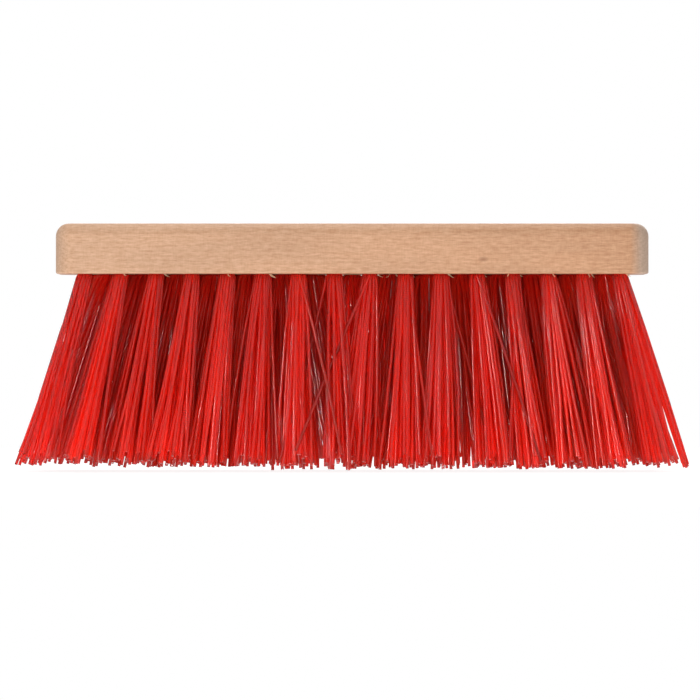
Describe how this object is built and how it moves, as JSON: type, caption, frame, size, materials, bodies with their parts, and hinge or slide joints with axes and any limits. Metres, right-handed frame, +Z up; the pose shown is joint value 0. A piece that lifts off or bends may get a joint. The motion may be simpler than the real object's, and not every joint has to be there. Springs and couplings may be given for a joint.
{
  "type": "push broom head",
  "caption": "Push broom head: a flat rounded wooden block with a slanted handle socket and staggered rows of stiff plastic bristle tufts that fan out at the ends, for sweeping floors and yards.",
  "frame": {"origin": "on the floor under the middle of the head, at the level of the bristle tips", "axes": "+X along the block, +Y to the back, where the handle leans, +Z up; the long face in the picture looks along -Y"},
  "size_m": [0.342, 0.0936, 0.1255],
  "materials": {
    "beech": "plain sanded beech, unvarnished",
    "red_filament": "glossy extruded filament",
    "steel_wire": "bright flat wire"
  },
  "bodies": {
    "root": {"block": "beech", "anchors": "steel_wire", "front_tuft_01": "red_filament", "front_tuft_02": "red_filament", "front_tuft_03": "red_filament", "front_tuft_04": "red_filament", "front_tuft_05": "red_filament", "front_tuft_06": "red_filament", "front_tuft_07": "red_filament", "front_tuft_08": "red_filament", "front_tuft_09": "red_filament", "front_tuft_10": "red_filament", "front_tuft_11": "red_filament", "front_tuft_12": "red_filament", "front_tuft_13": "red_filament", "front_tuft_14": "red_filament", "front_tuft_15": "red_filament", "front_tuft_16": "red_filament", "second_tuft_01": "red_filament", "second_tuft_02": "red_filament", "second_tuft_03": "red_filament", "second_tuft_04": "red_filament", "second_tuft_05": "red_filament", "second_tuft_06": "red_filament", "second_tuft_07": "red_filament", "second_tuft_08": "red_filament", "second_tuft_09": "red_filament", "second_tuft_10": "red_filament", "second_tuft_11": "red_filament", "second_tuft_12": "red_filament", "second_tuft_13": "red_filament", "third_tuft_01": "red_filament", "third_tuft_02": "red_filament", "third_tuft_03": "red_filament", "third_tuft_04": "red_filament", "third_tuft_05": "red_filament", "third_tuft_06": "red_filament", "third_tuft_07": "red_filament", "third_tuft_08": "red_filament", "third_tuft_09": "red_filament", "third_tuft_10": "red_filament", "third_tuft_11": "red_filament", "third_tuft_12": "red_filament", "third_tuft_13": "red_filament", "back_tuft_01": "red_filament", "back_tuft_02": "red_filament", "back_tuft_03": "red_filament", "back_tuft_04": "red_filament", "back_tuft_05": "red_filament", "back_tuft_06": "red_filament", "back_tuft_07": "red_filament", "back_tuft_08": "red_filament", "back_tuft_09": "red_filament", "back_tuft_10": "red_filament", "back_tuft_11": "red_filament", "back_tuft_12": "red_filament", "back_tuft_13": "red_filament", "back_tuft_14": "red_filament", "back_tuft_15": "red_filament"}
  },
  "joints": []
}
